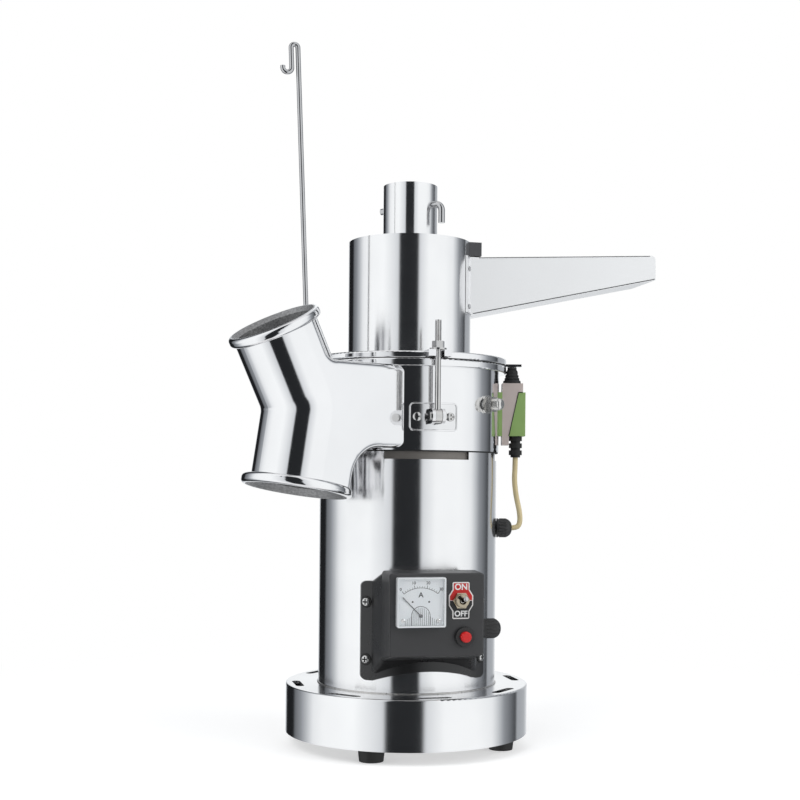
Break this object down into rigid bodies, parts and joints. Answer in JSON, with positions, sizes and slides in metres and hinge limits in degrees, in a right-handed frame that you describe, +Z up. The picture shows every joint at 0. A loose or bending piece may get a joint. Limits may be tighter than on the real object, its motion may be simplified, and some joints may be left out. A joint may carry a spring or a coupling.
{
  "type": "electric spice grinder",
  "caption": "Upright electric spice grinder: motor column, hammer mill with a forked outlet, hinged lid with feed cylinder, sloping feed tray, air damper and a control box with ammeter.",
  "frame": {"origin": "on the surface that the feet stand on, under the motor axis", "axes": "+Z up, -Y the front that the control box faces, +X the side of the feed tray"},
  "size_m": [0.4386, 0.2664, 0.6796],
  "materials": {
    "polished_steel": "mirror polished stainless sheet",
    "polished_casting": "polished aluminium casting, matte grey inside",
    "tray_sheet": "satin stainless sheet",
    "steel": "bright machined steel",
    "dark_steel": "hardened steel, darkened",
    "laminations": "steel laminations with copper windings",
    "black_plastic": "fine textured black plastic",
    "black_rubber": "soft black rubber",
    "grey_plastic": "grey moulded plastic",
    "green_plastic": "green moulded plastic",
    "cream_cord": "cream cord sheath",
    "dial_white": "printed pale dial",
    "lens_clear": "clear window",
    "needle_black": "black needle",
    "sign_red": "red printed plate with a pale border",
    "red_plastic": "glossy red plastic"
  },
  "bodies": {
    "stand": {"feet": "black_rubber", "base_plate": "steel", "base_pan": "polished_steel", "motor_tube": "polished_steel", "lower_bell": "polished_casting", "upper_bell": "polished_casting", "lower_bearing": "steel", "upper_bearing": "steel", "stator": "laminations", "mill_housing": "polished_casting", "sieve_ring": "dark_steel", "tooth_ring": "dark_steel", "liner_bolts": "steel", "hinge_base": "steel", "hinge_pin": "steel", "latch_bracket": "steel", "latch_screws": "steel", "latch_pin": "steel", "hook_rod": "polished_steel", "box_base": "black_plastic", "box_cover": "black_plastic", "box_screws": "dark_steel", "meter_case": "black_plastic", "meter_dial": "dial_white", "meter_lens": "lens_clear", "toggle_body": "steel", "toggle_plate": "sign_red", "breaker_body": "black_plastic", "box_gland": "black_plastic", "motor_gland": "black_plastic", "switch_body": "grey_plastic", "switch_covers": "green_plastic", "switch_boot": "black_rubber", "switch_relief": "black_rubber", "switch_cord": "cream_cord"},
    "rotor": {"motor_shaft": "steel", "cooling_fan": "black_plastic", "hammer_disc": "steel", "hammer_pins": "steel", "rotor_nut": "steel"},
    "hammer_one": {"hammer_1": "dark_steel"},
    "hammer_two": {"hammer_2": "dark_steel"},
    "hammer_three": {"hammer_3": "dark_steel"},
    "hammer_four": {"hammer_4": "dark_steel"},
    "lid": {"lid_plate": "polished_casting", "feed_cylinder": "polished_steel", "air_tube": "polished_steel", "feed_tray": "tray_sheet", "inlet_hood": "tray_sheet", "lid_knuckle": "steel"},
    "damper": {"damper_shaft": "steel", "damper_plate": "steel"},
    "latch": {"swing_bolt": "steel", "latch_nut": "steel"},
    "needle": {"meter_needle": "needle_black"},
    "toggle": {"toggle_lever": "steel"},
    "reset": {"reset_button": "red_plastic"},
    "plunger": {"switch_plunger": "black_plastic"}
  },
  "joints": [
    {"name": "rotor_spin", "type": "hinge", "parent": "stand", "child": "rotor", "pos_m": [0, 0, 0.3], "axis": [0, 0, 1], "continuous": true},
    {"name": "hammer_one_swing", "type": "hinge", "parent": "rotor", "child": "hammer_one", "pos_m": [0.046, 0, 0.3148], "axis": [0, 0, 1], "range_deg": [-40, 40]},
    {"name": "hammer_two_swing", "type": "hinge", "parent": "rotor", "child": "hammer_two", "pos_m": [0, 0.046, 0.3148], "axis": [0, 0, 1], "range_deg": [-40, 40]},
    {"name": "hammer_three_swing", "type": "hinge", "parent": "rotor", "child": "hammer_three", "pos_m": [-0.046, 0, 0.3148], "axis": [0, 0, 1], "range_deg": [-40, 40]},
    {"name": "hammer_four_swing", "type": "hinge", "parent": "rotor", "child": "hammer_four", "pos_m": [0, -0.046, 0.3148], "axis": [0, 0, 1], "range_deg": [-40, 40]},
    {"name": "lid_hinge", "type": "hinge", "parent": "stand", "child": "lid", "pos_m": [0, 0.108, 0.378], "axis": [-1, 0, 0], "range_deg": [0, 95]},
    {"name": "damper_turn", "type": "hinge", "parent": "lid", "child": "damper", "pos_m": [0, 0, 0.5335], "axis": [0.6561, -0.7547, 0], "range_deg": [0, 90]},
    {"name": "latch_swing", "type": "hinge", "parent": "stand", "child": "latch", "pos_m": [0.00361, -0.10344, 0.3205], "axis": [0.9994, 0.0349, 0], "range_deg": [0, 105]},
    {"name": "toggle_flip", "type": "hinge", "parent": "stand", "child": "toggle", "pos_m": [0.0223, -0.127, 0.1517], "axis": [1, 0, 0], "range_deg": [0, 24]},
    {"name": "reset_press", "type": "slide", "parent": "stand", "child": "reset", "axis": [0, 1, 0], "range_m": [0, 0.0025], "stiffness_N_per_m": 400},
    {"name": "plunger_press", "type": "slide", "parent": "stand", "child": "plunger", "axis": [0, 0, -1], "range_m": [0, 0.0025], "stiffness_N_per_m": 400},
    {"name": "needle_swing", "type": "hinge", "parent": "stand", "child": "needle", "pos_m": [-0.0159, -0.12485, 0.1382], "axis": [0, 1, 0], "range_deg": [0, 90], "stiffness_Nm_per_rad": 0.0005}
  ]
}
